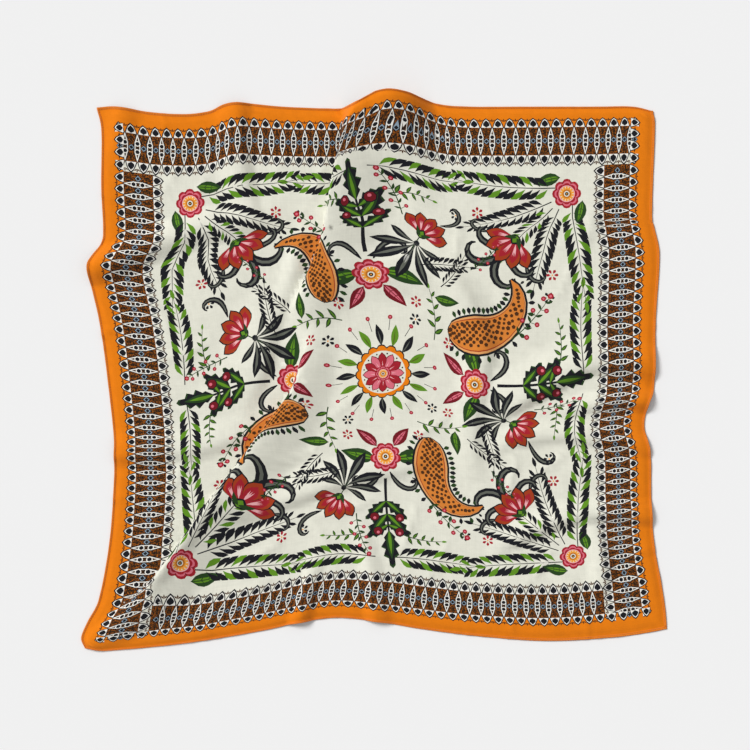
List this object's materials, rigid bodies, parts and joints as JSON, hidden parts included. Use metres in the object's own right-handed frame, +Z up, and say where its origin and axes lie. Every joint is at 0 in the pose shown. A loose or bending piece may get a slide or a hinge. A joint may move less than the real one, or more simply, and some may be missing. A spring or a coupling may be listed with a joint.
{
  "type": "printed cotton scarf",
  "caption": "Square printed cotton scarf, laid out flat with soft folds, with a plain border, a patterned band and turned hems.",
  "frame": {"origin": "on the surface the scarf lies on, under the middle of its bounding box", "axes": "+Z up from the surface, +Y towards the far edge of the scarf and +X towards its right edge, as it is seen from above in the picture"},
  "size_m": [0.6356, 0.606, 0.024],
  "materials": {
    "printed_cotton": "matt printed cotton lawn",
    "hem_cotton": "matt dyed cotton, turned and stitched"
  },
  "bodies": {
    "root": {"cloth": "printed_cotton", "hem_back": "hem_cotton", "hem_front": "hem_cotton", "hem_left": "hem_cotton", "hem_right": "hem_cotton"}
  },
  "joints": []
}
